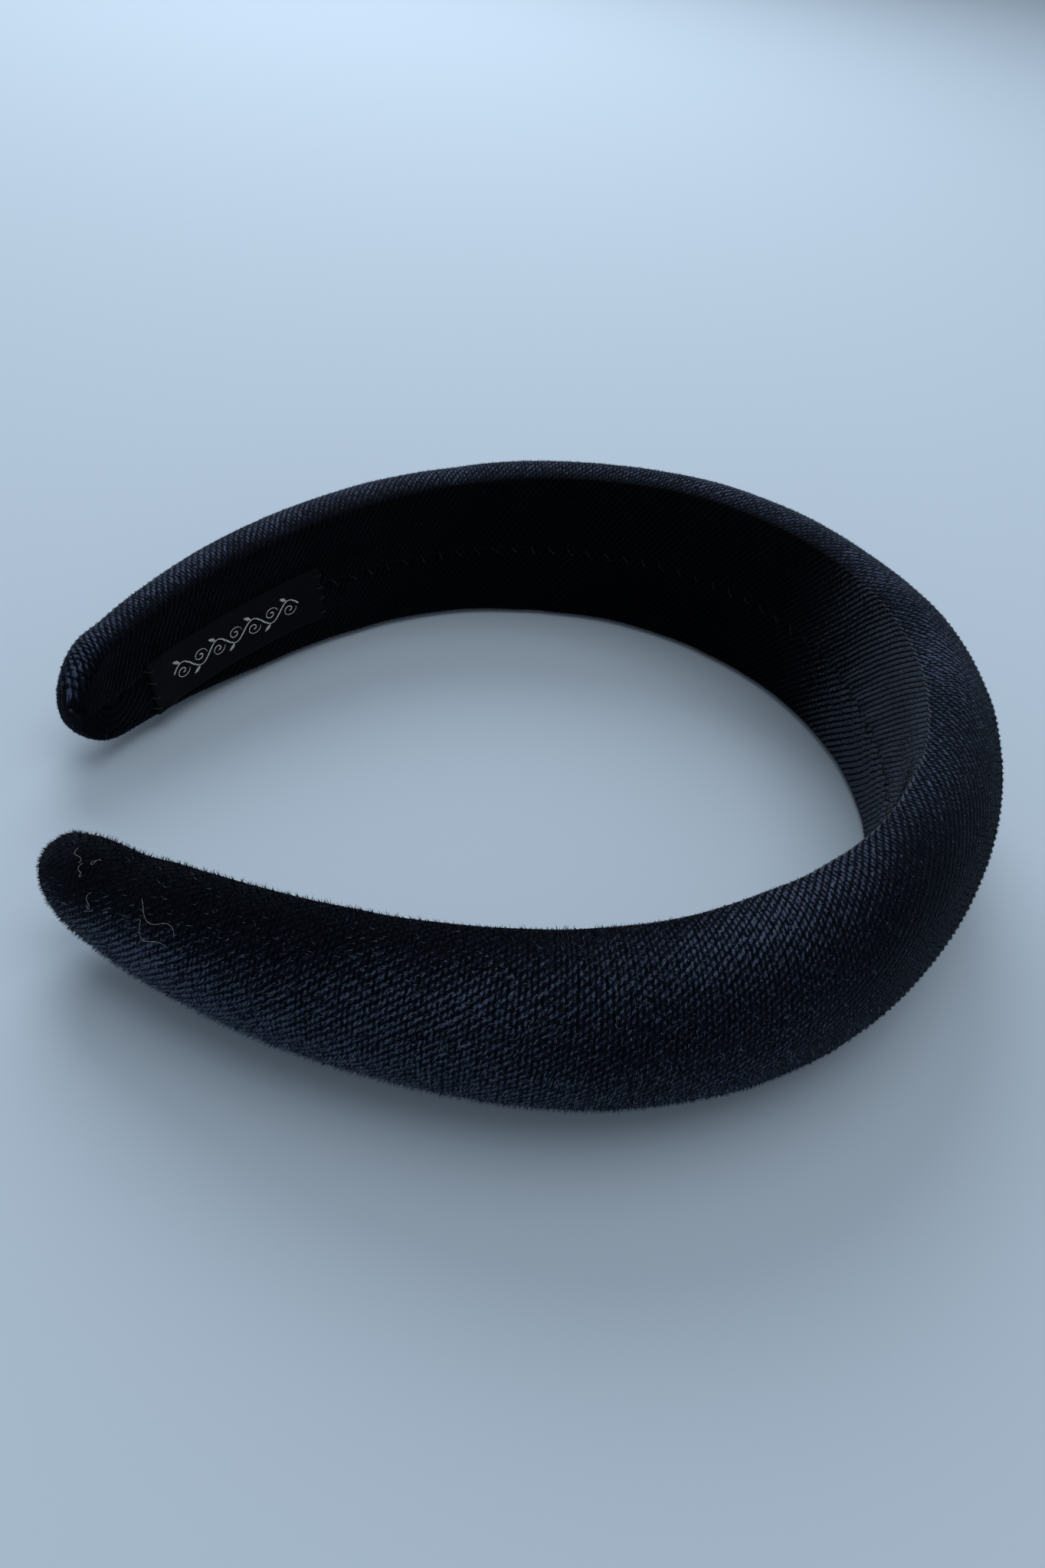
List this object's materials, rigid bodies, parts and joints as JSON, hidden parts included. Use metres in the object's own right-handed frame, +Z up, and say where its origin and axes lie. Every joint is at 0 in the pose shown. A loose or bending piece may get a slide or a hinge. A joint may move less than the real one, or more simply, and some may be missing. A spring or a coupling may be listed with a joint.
{
  "type": "padded headband",
  "caption": "C-shaped padded velvet headband on a springy plastic core, with a ribbed cover closed by a hand seam and a woven label inside one arm.",
  "frame": {"origin": "under the middle of the band's box, on the surface that it rests on", "axes": "+X towards the crown, +Y towards the left arm, which carries the label, +Z up"},
  "size_m": [0.1642, 0.148, 0.0396],
  "materials": {
    "core": "moulded matt",
    "tape": "clear adhesive tape",
    "foam": "open-cell foam",
    "velvet": "ribbed velvet, cut on the bias",
    "thread": "spun polyester thread",
    "label": "woven satin with silver thread"
  },
  "bodies": {
    "crown": {"core_crown": "core", "tape_crown": "tape", "foam_crown": "foam", "cover_crown": "velvet", "seam_thread_crown": "thread"},
    "left_arm": {"core_left_arm": "core", "tape_left_arm": "tape", "foam_left_arm": "foam", "cover_left_arm": "velvet", "seam_thread_left_arm": "thread", "woven_label": "label", "label_thread": "thread"},
    "right_arm": {"core_right_arm": "core", "tape_right_arm": "tape", "foam_right_arm": "foam", "cover_right_arm": "velvet", "seam_thread_right_arm": "thread"}
  },
  "joints": [
    {"name": "left_arm_flex", "type": "hinge", "parent": "crown", "child": "left_arm", "pos_m": [0.03172, 0.05481, 0.01834], "axis": [0.0454, 0, -0.999], "range_deg": [0, 15], "stiffness_Nm_per_rad": 0.6, "deforming": ["foam_crown", "foam_left_arm", "cover_crown", "cover_left_arm"]},
    {"name": "right_arm_flex", "type": "hinge", "parent": "crown", "child": "right_arm", "pos_m": [0.03172, -0.05481, 0.01834], "axis": [-0.0454, 0, 0.999], "range_deg": [0, 15], "stiffness_Nm_per_rad": 0.6, "deforming": ["foam_crown", "foam_right_arm", "cover_crown", "cover_right_arm"]}
  ]
}
